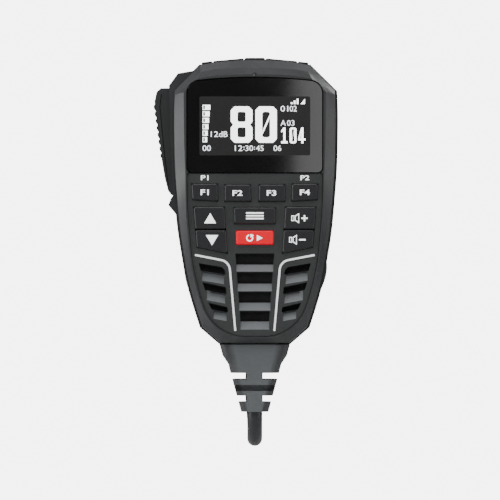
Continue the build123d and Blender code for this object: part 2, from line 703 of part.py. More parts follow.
with BuildPart() as hang_button_screw:
    with BuildSketch(front(0.0)):
        Circle(1.5)
    extrude(amount=7.65)
    with BuildSketch(front(-7.65)):
        Circle(2.9)
    extrude(amount=1.8)
    with BuildSketch(front(-9.45)):
        RegularPolygon(1.2, 6)
    extrude(amount=-1.0, mode=Mode.SUBTRACT)
save(hang_button_screw.part, "hang_button_screw")

# ---- strain relief, cord clamp and the lead inside ----
with BuildPart() as strain_relief:
    for za, zb, wa, wb, ta, tb in ((-69.9, -73.6, 12.1, 11.1, 8.2, 7.8), (-73.6, -76.7, 11.1, 9.1, 7.8, 7.0),
                                   (-76.7, -79.7, 9.1, 8.35, 7.0, 6.6)):
        with BuildSketch(Plane.XY.offset(za)):
            with Locations((0, CORD_Y)):
                RectangleRounded(2 * wa, 2 * ta, 3.2)
        with BuildSketch(Plane.XY.offset(zb)):
            with Locations((0, CORD_Y)):
                RectangleRounded(2 * wb, 2 * tb, 3.2)
        loft()
    with BuildSketch(Plane.XY.offset(-79.7)):
        with Locations((0, CORD_Y)):
            RectangleRounded(16.7, 13.2, 3.2)
    with BuildSketch(Plane.XY.offset(EXIT_Z)):
        with Locations((0, CORD_Y)):
            RectangleRounded(9.4, 9.4, 3.0)
    loft()
    for z0, z1 in ((-79.7, -81.9), (-87.5, -89.7)):
        with BuildSketch(Plane.XY.offset(z1)):
            with Locations((11.7, CORD_Y), (-11.7, CORD_Y)):
                Rectangle(18.0, 30.0)
        extrude(amount=z0 - z1, mode=Mode.SUBTRACT)
    with BuildSketch(Plane.XY.offset(-85.9)):
        with Locations((0, CORD_Y - 11.7), (0, CORD_Y + 11.7)):
            Rectangle(13.2, 18.0)
    extrude(amount=2.1, mode=Mode.SUBTRACT)
    # collar that the two halves of the casing grip
    with BuildSketch(Plane.XY.offset(-69.9)):
        with Locations((0, CORD_Y)):
            Rectangle(16.6, 9.6)
    extrude(amount=4.2)
    with BuildSketch(Plane.XY.offset(-65.7)):
        with Locations((0, CORD_Y)):
            Rectangle(20.0, 12.0)
    extrude(amount=1.6)
    with BuildSketch(Plane.XY.offset(EXIT_Z)):
        with Locations((0, CORD_Y)):
            Circle(2.2)
    extrude(amount=40, mode=Mode.SUBTRACT)
save(strain_relief.part, "strain_relief")
print("strain_relief", strain_relief.part.is_valid, len(strain_relief.part.solids()))

with BuildPart() as cord_clamp:
    with BuildSketch(front(-15.25)):
        with Locations((0, -31.0)):
            RectangleRounded(21.0, 6.0, 1.0)
        with Locations((-8.0, -31.0), (8.0, -31.0)):
            Circle(1.1, mode=Mode.SUBTRACT)
    extrude(amount=1.2)
save(cord_clamp.part, "cord_clamp")

with BuildPart() as clamp_screws:
    with BuildSketch(front(-16.45)):
        with Locations((-8.0, -31.0), (8.0, -31.0)):
            Circle(0.9)
    extrude(amount=-7.0)
    with BuildSketch(front(-16.45)):
        with Locations((-8.0, -31.0), (8.0, -31.0)):
            Circle(1.7)
            Rectangle(2.6, 0.5, mode=Mode.SUBTRACT)
    extrude(amount=0.9)
save(clamp_screws.part, "clamp_screws")

# The jacketed lead inside: up through the strain relief, under the clamp and to the board's connector.
INNER = [(0, CORD_Y, EXIT_Z), (0, CORD_Y, -62.0), (0, -13.05, -46.0), (0, -13.05, -19.5), (0, -24.9, -19.5), (0, -24.9, -26.5)]
with BuildPart() as inner_lead:
    with BuildLine() as lead_path:
        FilletPolyline(*INNER, radius=[9.0, 9.0, 5.5, 5.5])
    with BuildSketch(Plane(origin=INNER[0], z_dir=(0, 0, 1))):
        Circle(2.2)
    sweep()
save(inner_lead.part, "inner_lead")
print("inner_lead", inner_lead.part.is_valid, round(inner_lead.part.volume, 1), round(lead_path.wires()[0].length * math.pi * 2.2**2, 1))

# ---- the cord: a tube from the relief, a hank behind the body, and a tail to the plug ----
HANK_R_IN, HANK_R_OUT = 10.4, 26.0
HANK_LOW, HANK_HIGH = -39.9, -0.8        # Z of the two fold centres
HANK_Y = (-2.75, 7.65)                    # two layers of cord
LEAD = [(0, CORD_Y, EXIT_Z), (0, CORD_Y, -96.8), (0, -14.9, -102.9), (0, -6.2, -102.9), (0, -0.15, -96.8), (-1.0, -0.15, -85.5),
        (0, -0.15, -72.9), (10.2, -0.15, -62.7)]
TAIL = [(22.6, 5.05, -46.0), (22.2, 7.4, -37.5), (20.3, 10.9, -29.0), (18.8, 11.75, -20.0), (18.2, 11.6, -12.0)]


def corner_radii(points):
    """The largest even arc at each corner: 0.45 of the shorter run over the tangent of half the turn."""
    radii = []
    for i in range(1, len(points) - 1):
        a = Vector(*points[i]) - Vector(*points[i - 1])
        b = Vector(*points[i + 1]) - Vector(*points[i])
        turn = a.get_angle(b)
        radii.append(0.45 * min(a.length, b.length) / math.tan(math.radians(turn / 2)))
    return radii


def cord_tube(name, points):
    radii = corner_radii(points)
    with BuildPart() as tube:
        with BuildLine() as path:
            FilletPolyline(*points, radius=radii)
        with BuildSketch(Plane(origin=path.line @ 0, z_dir=path.line % 0)):
            Circle(CORD_D / 2)
        sweep()
    save(tube.part, name)
    length = path.wires()[0].length
    print(name, "radii", [round(r, 1) for r in radii], "length", round(length, 1), "volume", round(tube.part.volume, 1),
          "of", round(length * math.pi * CORD_D**2 / 4, 1), tube.part.is_valid)
    return length


lead_length = cord_tube("cord_lead", LEAD)
tail_length = cord_tube("cord_tail", TAIL)

with BuildPart() as cord_hank:
    with BuildSketch(front(HANK_Y[1])):
        with Locations((0, (HANK_LOW + HANK_HIGH) / 2)):
            SlotCenterToCenter(HANK_HIGH - HANK_LOW, 2 * HANK_R_OUT, rotation=90)
            SlotCenterToCenter(HANK_HIGH - HANK_LOW, 2 * HANK_R_IN, rotation=90, mode=Mode.SUBTRACT)
    extrude(amount=HANK_Y[1] - HANK_Y[0])
    fillet(cord_hank.faces().sort_by(Axis.Y)[0].edges(), 1.2)
    fillet(cord_hank.faces().sort_by(Axis.Y)[-1].edges(), 1.2)
save(cord_hank.part, "cord_hank")
turns = 0.0
for r in (13.0, 18.2, 23.4):
    turns += 2 * (2 * math.pi * r + 2 * (HANK_HIGH - HANK_LOW))
print("cord length", round(lead_length + turns + tail_length, 1))

# hook-and-loop band round the hank, with a tab whose eye buttons over the hang-up button's neck
with BuildPart() as hank_tie:
    with BuildSketch(Plane.XY.offset(-24.0)):
        with Locations((0, (HANK_Y[0] + HANK_Y[1]) / 2)):
            RectangleRounded(53.8, 12.2, 2.0)
            RectangleRounded(52.2, 10.6, 1.2, mode=Mode.SUBTRACT)
    extrude(amount=10.0)
    with BuildSketch(front(-2.85)):
        Polygon((-6.5, -24.0), (6.5, -24.0), (6.5, 0.0), (-6.5, 0.0), align=None)
        Circle(6.5)
        Circle(NECK_R + 0.15, mode=Mode.SUBTRACT)
    extrude(amount=0.8)
save(hank_tie.part, "hank_tie")

# ---- modular plug on the cord's end ----
PLUG = (18.2, 11.6)
with BuildPart() as plug_boot:
    with BuildSketch(Plane.XY.offset(-12.0)):
        with Locations(PLUG):
            Circle(3.4)
    with BuildSketch(Plane.XY.offset(-4.0)):
        with Locations(PLUG):
            RectangleRounded(10.4, 6.8, 2.4)
    loft()
save(plug_boot.part, "plug_boot")

with BuildPart() as plug_body:
    with BuildSketch(Plane.XY.offset(-4.0)):
        with Locations(PLUG):
            Rectangle(11.7, 7.8)
    extrude(amount=21.4)
    # contact slots, open at the nose
    with BuildSketch(Plane.XZ.offset(-(PLUG[1] - 3.9))):
        with Locations(*[(PLUG[0] + (i - 3.5) * 1.02, 14.4) for i in range(8)]):
            Rectangle(0.5, 6.0)
    extrude(amount=-2.0, mode=Mode.SUBTRACT)
    # latch tongue on the other broad side, moulded in one with the body
    with BuildSketch(Plane.YZ.offset(PLUG[0] - 3.1)):
        Polygon((PLUG[1] + 3.8, 16.8), (PLUG[1] + 3.8, 15.2), (PLUG[1] + 5.2, 12.0), (PLUG[1] + 6.2, -2.0), (PLUG[1] + 7.1, -2.0),
                (PLUG[1] + 6.3, 12.6), (PLUG[1] + 4.9, 16.4), align=None)
    extrude(amount=6.2)
save(plug_body.part, "plug_body")
print("plug_body", plug_body.part.is_valid, len(plug_body.part.solids()))

with BuildPart() as plug_contacts:
    with BuildSketch(Plane.XZ.offset(-(PLUG[1] - 3.5))):
        with Locations(*[(PLUG[0] + (i - 3.5) * 1.02, 14.2) for i in range(8)]):
            Rectangle(0.34, 5.2)
    extrude(amount=-1.6)
save(plug_contacts.part, "plug_contacts")
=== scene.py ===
import math
import random

import bmesh
import bpy
from mathutils import Matrix, Vector


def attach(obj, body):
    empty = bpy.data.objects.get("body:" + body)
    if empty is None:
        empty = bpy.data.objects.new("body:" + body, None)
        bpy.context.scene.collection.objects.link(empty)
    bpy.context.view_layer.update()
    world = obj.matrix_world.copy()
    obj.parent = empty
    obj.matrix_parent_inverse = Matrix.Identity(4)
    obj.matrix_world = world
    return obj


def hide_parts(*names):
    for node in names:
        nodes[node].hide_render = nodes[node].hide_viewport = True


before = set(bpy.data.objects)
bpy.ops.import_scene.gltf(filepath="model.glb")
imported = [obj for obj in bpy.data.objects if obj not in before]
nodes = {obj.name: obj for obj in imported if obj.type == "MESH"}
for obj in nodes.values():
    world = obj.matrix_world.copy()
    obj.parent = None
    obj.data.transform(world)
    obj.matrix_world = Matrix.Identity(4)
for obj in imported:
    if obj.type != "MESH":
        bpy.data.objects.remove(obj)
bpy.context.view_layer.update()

MM = 0.001
random.seed(7)


def v3(p):
    return (p[0] * MM, p[1] * MM, p[2] * MM)


# ---------------------------------------------------------------- camera
cam_data = bpy.data.cameras.new("camera")
cam_data.lens = 300.0
cam_data.sensor_width = 36.0
cam = bpy.data.objects.new("camera", cam_data)
bpy.context.scene.collection.objects.link(cam)
cam.location = (-1.64 * MM, -1.456, -37.5 * MM)
cam.rotation_euler = (math.radians(90), 0, 0)
bpy.context.scene.camera = cam

# ---------------------------------------------------------------- materials


def clear_nodes(name):
    m = bpy.data.materials.new(name)
    m.use_nodes = True
    t = m.node_tree
    bsdf = next(n for n in t.nodes if n.type == "BSDF_PRINCIPLED")
    return m, t, bsdf


def moulded(name, color, rough, grain=3200.0, grain_depth=0.00002, grain_strength=0.35, vary=0.18, rough_vary=0.08, coat=0.0,
            specular=0.5, scuff=0.25, metallic=0.0, sheen=0.0, brushed=None, painted_glow=None):
    """Moulded plastic, rubber or metal: a fine grain in the relief, slow colour and gloss variation, and faint paler wear."""
    m, t, bsdf = clear_nodes(name)
    n, l = t.nodes, t.links
    tc = n.new("ShaderNodeTexCoord")
    slow = n.new("ShaderNodeTexNoise")
    slow.inputs["Scale"].default_value = 55.0
    slow.inputs["Detail"].default_value = 3.0
    l.new(tc.outputs["Object"], slow.inputs["Vector"])
    fine = n.new("ShaderNodeTexNoise")
    fine.inputs["Scale"].default_value = grain
    fine.inputs["Detail"].default_value = 2.0
    if brushed:
        mp = n.new("ShaderNodeMapping")
        mp.inputs["Scale"].default_value = brushed
        l.new(tc.outputs["Object"], mp.inputs["Vector"])
        l.new(mp.outputs["Vector"], fine.inputs["Vector"])
    else:
        l.new(tc.outputs["Object"], fine.inputs["Vector"])
    mixed = n.new("ShaderNodeMath")
    mixed.operation = "MULTIPLY_ADD"
    mixed.inputs[1].default_value = 0.35
    l.new(fine.outputs["Fac"], mixed.inputs[0])
    l.new(slow.outputs["Fac"], mixed.inputs[2])
    ramp = n.new("ShaderNodeValToRGB")
    ramp.color_ramp.elements[0].position = 0.35
    ramp.color_ramp.elements[1].position = 1.0
    a = [c * (1 - vary) for c in color]
    b = [c * (1 + vary) + 0.004 * scuff for c in color]
    ramp.color_ramp.elements[0].color = (*a, 1)
    ramp.color_ramp.elements[1].color = (*b, 1)
    l.new(mixed.outputs[0], ramp.inputs["Fac"])
    l.new(ramp.outputs["Color"], bsdf.inputs["Base Color"])
    mr = n.new("ShaderNodeMapRange")
    mr.inputs["From Min"].default_value = 0.3
    mr.inputs["From Max"].default_value = 0.9
    mr.inputs["To Min"].default_value = max(rough - rough_vary, 0.02)
    mr.inputs["To Max"].default_value = min(rough + rough_vary, 1.0)
    l.new(mixed.outputs[0], mr.inputs["Value"])
    l.new(mr.outputs["Result"], bsdf.inputs["Roughness"])
    if grain_strength > 0:
        bump = n.new("ShaderNodeBump")
        bump.inputs["Strength"].default_value = grain_strength
        bump.inputs["Distance"].default_value = grain_depth
        l.new(fine.outputs["Fac"], bump.inputs["Height"])
        l.new(bump.outputs["Normal"], bsdf.inputs["Normal"])
    bsdf.inputs["Metallic"].default_value = metallic
    bsdf.inputs["Specular IOR Level"].default_value = specular
    bsdf.inputs["Coat Weight"].default_value = coat
    bsdf.inputs["Coat Roughness"].default_value = 0.08
    # painted_glow: an emission that paints a glow onto a part that is no lamp
    if painted_glow:
        bsdf.inputs["Emission Color"].default_value = (*painted_glow[:3], 1)
        bsdf.inputs["Emission Strength"].default_value = painted_glow[3]
    if sheen:
        bsdf.inputs["Sheen Weight"].default_value = sheen
        bsdf.inputs["Sheen Roughness"].default_value = 0.5
    return m


def woven(name, color, pitch, depth=0.00012, sheen=0.4):
    """Plain weave: two crossed waves for the threads, with darker gaps."""
    m, t, bsdf = clear_nodes(name)
    n, l = t.nodes, t.links
    tc = n.new("ShaderNodeTexCoord")
    sep = n.new("ShaderNodeSeparateXYZ")
    l.new(tc.outputs["Object"], sep.inputs[0])
    waves = []
    for axis in ("X", "Z"):
        k = n.new("ShaderNodeMath")
        k.operation = "MULTIPLY"
        k.inputs[1].default_value = 2 * math.pi / pitch
        l.new(sep.outputs[axis], k.inputs[0])
        s = n.new("ShaderNodeMath")
        s.operation = "SINE"
        l.new(k.outputs[0], s.inputs[0])
        waves.append(s)
    prod = n.new("ShaderNodeMath")
    prod.operation = "MULTIPLY_ADD"
    prod.inputs[2].default_value = 0.5
    half = n.new("ShaderNodeMath")
    half.operation = "MULTIPLY"
    half.inputs[1].default_value = 0.5
    l.new(waves[0].outputs[0], half.inputs[0])
    l.new(half.outputs[0], prod.inputs[0])
    l.new(waves[1].outputs[0], prod.inputs[1])
    noise = n.new("ShaderNodeTexNoise")
    noise.inputs["Scale"].default_value = 900.0
    l.new(tc.outputs["Object"], noise.inputs["Vector"])
    total = n.new("ShaderNodeMath")
    total.operation = "MULTIPLY_ADD"
    total.inputs[1].default_value = 0.6
    l.new(noise.outputs["Fac"], total.inputs[0])
    l.new(prod.outputs[0], total.inputs[2])
    ramp = n.new("ShaderNodeValToRGB")
    ramp.color_ramp.elements[0].position = 0.2
    ramp.color_ramp.elements[0].color = (*[c * 0.45 for c in color], 1)
    ramp.color_ramp.elements[1].position = 1.0
    ramp.color_ramp.elements[1].color = (*[c * 1.35 for c in color], 1)
    l.new(total.outputs[0], ramp.inputs["Fac"])
    l.new(ramp.outputs["Color"], bsdf.inputs["Base Color"])
    bump = n.new("ShaderNodeBump")
    bump.inputs["Strength"].default_value = 0.7
    bump.inputs["Distance"].default_value = depth
    l.new(total.outputs[0], bump.inputs["Height"])
    l.new(bump.outputs["Normal"], bsdf.inputs["Normal"])
    bsdf.inputs["Roughness"].default_value = 0.9
    bsdf.inputs["Sheen Weight"].default_value = sheen
    return m


# emissive materials: the display's pixels glow for real, while the white print's glow is painted
def lit(name, color, strength, rough=0.4):
    m, t, bsdf = clear_nodes(name)
    n, l = t.nodes, t.links
    tc = n.new("ShaderNodeTexCoord")
    noise = n.new("ShaderNodeTexNoise")
    noise.inputs["Scale"].default_value = 500.0
    l.new(tc.outputs["Object"], noise.inputs["Vector"])
    mix = n.new("ShaderNodeMixRGB")
    mix.inputs["Color1"].default_value = (*color, 1)
    mix.inputs["Color2"].default_value = (*[c * 0.9 for c in color], 1)
    l.new(noise.outputs["Fac"], mix.inputs["Fac"])
    l.new(mix.outputs["Color"], bsdf.inputs["Base Color"])
    bsdf.inputs["Roughness"].default_value = rough
    bsdf.inputs["Emission Color"].default_value = (*color, 1)
    bsdf.inputs["Emission Strength"].default_value = strength
    return m


M = {}
M["casing"] = moulded("casing_satin", (0.030, 0.032, 0.034), 0.40, 2600, 0.00003, 0.45)
M["rear"] = moulded("rear_satin", (0.022, 0.024, 0.026), 0.46, 2600, 0.00003, 0.5)
M["panel"] = moulded("panel_matt", (0.030, 0.034, 0.034), 0.55, 3200, 0.00002, 0.4)
M["key"] = moulded("key_matt", (0.009, 0.0095, 0.012), 0.50, 3000, 0.00002, 0.45)
# the red key gets a painted glow, an emission that deepens its red though it is no lamp
M["key_red"] = moulded("key_red_satin_painted_glow", (0.80, 0.0, 0.014), 0.5, 3000, 0.00001, 0.25, vary=0.05, specular=0.2, painted_glow=(1.0, 0.0, 0.03, 0.30))
# the white accent trims get a painted glow, an emission that whitens them though they are no lamp
M["accent"] = moulded("accent_pale_painted_glow", (0.86, 0.88, 0.90), 0.30, 2500, 0.00001, 0.15, vary=0.03, coat=0.3, painted_glow=(0.95, 0.98, 1.0, 0.55))
M["lens"] = moulded("lens_polished", (0.0025, 0.0025, 0.003), 0.045, 900, 0.000002, 0.05, vary=0.3, rough_vary=0.02, coat=0.0)
M["rubber"] = moulded("rubber_black", (0.012, 0.012, 0.013), 0.62, 2400, 0.00004, 0.5)
M["grip"] = moulded("grip_rubber", (0.018, 0.020, 0.021), 0.50, 2400, 0.00004, 0.5)
M["lever"] = moulded("lever_plastic", (0.014, 0.015, 0.016), 0.45, 2600, 0.00003, 0.4)
M["relief"] = moulded("relief_soft_painted_flank_shade", (0.125, 0.136, 0.142), 0.48, 2400, 0.00004, 0.5, vary=0.1)
M["cord"] = moulded("cord_jacket", (0.021, 0.023, 0.025), 0.36, 1500, 0.00003, 0.3, vary=0.15)
M["steel"] = moulded("steel_plated", (0.55, 0.55, 0.56), 0.30, 2200, 0.00001, 0.25, metallic=1.0, vary=0.08, brushed=(1.0, 0.06, 1.0))
M["tin"] = moulded("tin_sheet", (0.62, 0.62, 0.60), 0.35, 1800, 0.00001, 0.25, metallic=1.0, vary=0.08)
M["gold"] = moulded("contact_gold", (0.80, 0.56, 0.20), 0.22, 1800, 0.00001, 0.15, metallic=1.0, vary=0.06)
M["board"] = moulded("board_resist", (0.015, 0.11, 0.05), 0.35, 1500, 0.00002, 0.4, vary=0.2, coat=0.2)
M["chip"] = moulded("chip_epoxy", (0.018, 0.018, 0.019), 0.50, 2600, 0.00002, 0.5)
M["holder"] = moulded("holder_plastic", (0.035, 0.035, 0.036), 0.55, 2600, 0.00002, 0.4)
M["flex"] = moulded("flex_film", (0.42, 0.20, 0.04), 0.30, 1500, 0.00001, 0.2, vary=0.1)
M["foam"] = moulded("foam_black", (0.012, 0.012, 0.012), 0.95, 1400, 0.0001, 0.8)
M["cone"] = moulded("cone_paper", (0.03, 0.03, 0.03), 0.8, 900, 0.00006, 0.6)
M["cloth"] = woven("grille_cloth", (0.006, 0.006, 0.0065), 0.00035)
M["tie"] = woven("tie_hook_loop", (0.016, 0.016, 0.018), 0.0006, 0.0002, 0.6)
# the white print on the keys and panel gets a painted glow from its emission
M["white_print_painted_glow"] = lit("print_white_painted_glow", (0.90, 0.91, 0.92), 1.6, 0.5)
M["pixel"] = lit("pixel_white", (0.96, 0.98, 1.0), 3.0, 0.5)
M["pixel_fine"] = lit("pixel_white_fine", (0.93, 0.96, 1.0), 1.6, 0.5)
M["screen"] = moulded("screen_black", (0.0075, 0.0072, 0.007), 0.5, 1200, 0.00001, 0.1, vary=0.25)


def clear_plastic(name, color, rough):
    m, t, bsdf = clear_nodes(name)
    n, l = t.nodes, t.links
    tc = n.new("ShaderNodeTexCoord")
    noise = n.new("ShaderNodeTexNoise")
    noise.inputs["Scale"].default_value = 260.0
    l.new(tc.outputs["Object"], noise.inputs["Vector"])
    mr = n.new("ShaderNodeMapRange")
    mr.inputs["To Min"].default_value = rough
    mr.inputs["To Max"].default_value = rough + 0.08
    l.new(noise.outputs["Fac"], mr.inputs["Value"])
    l.new(mr.outputs["Result"], bsdf.inputs["Roughness"])
    bump = n.new("ShaderNodeBump")
    bump.inputs["Strength"].default_value = 0.15
    bump.inputs["Distance"].default_value = 0.00003
    l.new(noise.outputs["Fac"], bump.inputs["Height"])
    l.new(bump.outputs["Normal"], bsdf.inputs["Normal"])
    bsdf.inputs["Base Color"].default_value = (*color, 1)
    bsdf.inputs["Transmission Weight"].default_value = 0.85
    bsdf.inputs["IOR"].default_value = 1.49
    return m


M["clear"] = clear_plastic("plug_clear", (0.80, 0.82, 0.84), 0.08)



def paint_flank_shade(m, inner, outer):
    """Painted shade on the strain relief's flanks: its colour darkens from the broad face outwards, a ramp on |x| over
    the half width at that height.
    """
    t = m.node_tree
    n, l = t.nodes, t.links
    bsdf = next(k for k in n if k.type == "BSDF_PRINCIPLED")
    old = bsdf.inputs["Base Color"].links[0].from_socket
    tc = n.new("ShaderNodeTexCoord")
    sep = n.new("ShaderNodeSeparateXYZ")
    l.new(tc.outputs["Object"], sep.inputs[0])
    ab = n.new("ShaderNodeMath")
    ab.operation = "ABSOLUTE"
    l.new(sep.outputs["X"], ab.inputs[0])
    half = n.new("ShaderNodeMath")
    half.operation = "MULTIPLY_ADD"
    half.inputs[1].default_value = 0.38
    half.inputs[2].default_value = 0.0389
    l.new(sep.outputs["Z"], half.inputs[0])
    share = n.new("ShaderNodeMath")
    share.operation = "DIVIDE"
    l.new(ab.outputs[0], share.inputs[0])
    l.new(half.outputs[0], share.inputs[1])
    ramp = n.new("ShaderNodeMapRange")
    ramp.inputs["From Min"].default_value = inner
    ramp.inputs["From Max"].default_value = outer
    ramp.inputs["To Min"].default_value = 1.0
    ramp.inputs["To Max"].default_value = 0.30
    l.new(share.outputs[0], ramp.inputs["Value"])
    mul = n.new("ShaderNodeVectorMath")
    mul.operation = "SCALE"
    l.new(old, mul.inputs[0])
    l.new(ramp.outputs["Result"], mul.inputs["Scale"])
    l.new(mul.outputs[0], bsdf.inputs["Base Color"])


# painted shade: the strain relief's flanks are darkened in its colour
paint_flank_shade(M["relief"], 0.58, 0.80)

BY_NODE = {
    "front_shell": "casing", "rear_cover": "rear", "face_panel": "panel", "accent_trims": "accent", "display_lens": "lens",
    "lens_gasket": "foam", "speaker_gasket": "foam", "oled_panel": "screen", "display_holder": "holder", "speaker_frame": "holder",
    "speaker_bracket": "holder", "cord_clamp": "holder", "ptt_switch": "holder", "lead_connector": "holder", "display_flex": "flex",
    "main_board": "board", "board_screws": "steel", "clamp_screws": "steel", "rear_screws": "steel", "ptt_pin": "steel",
    "hang_button_screw": "steel", "speaker_magnet": "steel", "dome_switches": "steel", "shield_can": "tin", "mic_capsule": "tin",
    "control_chips": "chip", "hang_button": "steel", "keypad_membrane": "rubber", "top_bumper": "rubber", "perimeter_seal": "rubber",
    "mic_boot": "rubber", "ptt_grip": "grip", "ptt_lever": "lever", "speaker_cloth": "cloth", "speaker_cone": "cone",
    "strain_relief": "relief", "inner_lead": "cord", "plug_boot": "cord", "hank_tie": "tie", "plug_body": "clear",
    "plug_contacts": "gold",
}
for name, obj in nodes.items():
    kind = BY_NODE.get(name)
    if kind is None:
        kind = "key_red" if name == "key_replay" else "key" if name.startswith("key_") else "cord"
    obj.data.materials.clear()
    obj.data.materials.append(M[kind])

# the louvres' sloping fronts under the loudspeaker slots face up: their colour, paler than the panel's, is a painted
# highlight for the light from above; their finish is also smoother than the panel's
M["louvre"] = moulded("louvre_painted_highlight", (0.120, 0.130, 0.136), 0.42, 3200, 0.00002, 0.3, vary=0.1)
panel_mesh = nodes["face_panel"].data
panel_mesh.materials.append(M["louvre"])
# painted highlight: the faces that point up and forward take the paler material
for p in panel_mesh.polygons:
    if p.center.z < -0.040 and p.normal.y < -0.6 and p.normal.z > 0.12:
        p.material_index = 1

# ---------------------------------------------------------------- the cord, one spline from the strain relief to the plug
LEAD = [(0, -20.95, -93.1), (0, -20.95, -96.8), (0, -14.9, -102.9), (0, -6.2, -102.9), (0, -0.15, -96.8), (-1.0, -0.15, -85.5),
        (0, -0.15, -72.9), (10.2, -0.15, -62.7)]
TAIL = [(22.2, 7.4, -37.5), (20.3, 10.9, -29.0), (18.8, 11.75, -20.0), (18.2, 11.6, -12.0)]
HANK_LOW, HANK_HIGH = -39.9, -0.8


def fold_point(deg, r, y):
    """A point of the hank at that angle round its nearer fold, as seen from the front."""
    a = math.radians(deg)
    c = HANK_HIGH if math.sin(a) > 0 else HANK_LOW
    k = r / math.cos(math.radians(15))
    wob = random.uniform(-0.12, 0.12)
    return ((k + wob) * math.cos(a), y + random.uniform(-0.08, 0.08), c + (k + wob) * math.sin(a))


hank = []
Y1, Y2 = -0.15, 5.05
# first layer, winding inwards
for turn, r in enumerate((23.4, 18.2, 13.0)):
    start = -45 if turn == 0 else -75
    for deg in range(start, 166, 30):
        hank.append(fold_point(deg, r, Y1 + (0.0 if turn < 2 or deg < 165 else 0.3)))
    if turn < 2:
        for i, deg in enumerate((195, 225, 255)):
            hank.append(fold_point(deg, r - 1.3 * (i + 1), Y1))
# up to the second layer along the left side
hank.append(fold_point(195, 13.0, 3.1))
hank.append(fold_point(225, 13.0, Y2))
hank.append(fold_point(255, 13.0, Y2))
# second layer, winding outwards
for turn, r in enumerate((13.0, 18.2, 23.4)):
    for deg in range(285, 346, 30):
        hank.append(fold_point(deg, r, Y2))
    if turn == 2:
        for deg in range(15, 346, 30):
            hank.append(fold_point(deg, r, Y2))
    else:
        for deg in range(15, 166, 30):
            hank.append(fold_point(deg, r, Y2))
        for i, deg in enumerate((195, 225, 255)):
            hank.append(fold_point(deg, r + 1.3 * (i + 1), Y2))
route = LEAD + hank + TAIL

curve = bpy.data.curves.new("cord", "CURVE")
curve.dimensions = "3D"
curve.bevel_depth = 2.6 * MM
curve.bevel_resolution = 8
curve.use_fill_caps = True
spline = curve.splines.new("NURBS")
spline.points.add(len(route) - 1)
for p, q in zip(spline.points, route):
    p.co = (*v3(q), 1.0)
spline.order_u = 3
spline.use_endpoint_u = True
spline.resolution_u = 8
cord = bpy.data.objects.new("cord", curve)
bpy.context.scene.collection.objects.link(cord)
cord.data.materials.append(M["cord"])
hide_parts("cord_lead", "cord_hank", "cord_tail")
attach(cord, "root")

# ---------------------------------------------------------------- helpers for thin solids


def add_object(name, mesh, material, body, replaced=()):
    ob = bpy.data.objects.new(name, mesh)
    bpy.context.scene.collection.objects.link(ob)
    mesh.materials.clear()
    mesh.materials.append(M[material])
    if replaced:
        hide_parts(*replaced)
    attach(ob, body)
    return ob


def flat_into(bm, outlines, y, depth):
    """Each outline is a list of loops, the outer one first, in X and Z millimetres. The solid's front is at y."""
    for loops in outlines:
        edges = []
        for loop in loops:
            vs = [bm.verts.new((x * MM, y * MM, z * MM)) for x, z in loop]
            edges += [bm.edges.new((a, b)) for a, b in zip(vs, vs[1:] + vs[:1])]
        made = bmesh.ops.triangle_fill(bm, edges=edges, use_beauty=True, use_dissolve=False, normal=(0, -1, 0))
        faces = [g for g in made["geom"] if isinstance(g, bmesh.types.BMFace)]
        out = bmesh.ops.extrude_face_region(bm, geom=faces)
        moved = [g for g in out["geom"] if isinstance(g, bmesh.types.BMVert)]
        bmesh.ops.translate(bm, verts=moved, vec=(0, depth * MM, 0))
    bmesh.ops.recalc_face_normals(bm, faces=bm.faces[:])


def marks(name, outlines, y, body, material="white_print_painted_glow", depth=0.06):
    bm = bmesh.new()
    flat_into(bm, outlines, y, depth)
    mesh = bpy.data.meshes.new(name)
    bm.to_mesh(mesh)
    bm.free()
    return add_object(name, mesh, material, body)


def rect(x0, z0, x1, z1):
    return [[(x0, z0), (x1, z0), (x1, z1), (x0, z1)]]


def turned(loops, cx, cz, deg):
    a = math.radians(deg)
    return [[(cx + (x - cx) * math.cos(a) - (z - cz) * math.sin(a), cz + (x - cx) * math.sin(a) + (z - cz) * math.cos(a)) for x, z in loop]
            for loop in loops]


def arc_band(cx, cz, r, w, a0, a1, steps=26):
    outer = [(cx + (r + w / 2) * math.cos(math.radians(a0 + (a1 - a0) * i / steps)),
              cz + (r + w / 2) * math.sin(math.radians(a0 + (a1 - a0) * i / steps))) for i in range(steps + 1)]
    inner = [(cx + (r - w / 2) * math.cos(math.radians(a0 + (a1 - a0) * i / steps)),
              cz + (r - w / 2) * math.sin(math.radians(a0 + (a1 - a0) * i / steps))) for i in range(steps, -1, -1)]
    return [outer + inner]


def words(name, items, y, body, material="white_print_painted_glow", depth=0.06, bold=0.0):
    """Built-in type, as high as each item's box, widened up to its width and centred in it: (text, x0, z0, x1, z1) in millimetres."""
    bm = bmesh.new()
    for text, x0, z0, x1, z1 in items:
        c = bpy.data.curves.new("type", "FONT")
        c.body = text
        c.extrude = 0.05
        c.offset = bold
        c.resolution_u = 4
        o = bpy.data.objects.new("type", c)
        bpy.context.scene.collection.objects.link(o)
        bpy.context.view_layer.update()
        dg = bpy.context.evaluated_depsgraph_get()
        mesh = bpy.data.meshes.new_from_object(o.evaluated_get(dg), depsgraph=dg)
        bpy.data.objects.remove(o)
        bpy.data.curves.remove(c)
        xs = [v.co.x for v in mesh.vertices]
        ys = [v.co.y for v in mesh.vertices]
        lx, ly, wx, wy = min(xs), min(ys), max(xs) - min(xs), max(ys) - min(ys)
        k = (z1 - z0) / wy
        kx = min((x1 - x0) / wx, 1.45 * k)
        for v in mesh.vertices:
            x, h, z = v.co
            v.co = (((x0 + x1) / 2 + (x - lx - wx / 2) * kx) * MM, (y if z > 0 else y + depth) * MM, (z0 + (h - ly) * k) * MM)
        bm.from_mesh(mesh)
        bpy.data.meshes.remove(mesh)
    bmesh.ops.remove_doubles(bm, verts=bm.verts[:], dist=1e-7)
    bmesh.ops.recalc_face_normals(bm, faces=bm.faces[:])
    mesh = bpy.data.meshes.new(name)
    bm.to_mesh(mesh)
    bm.free()
    return add_object(name, mesh, material, body)


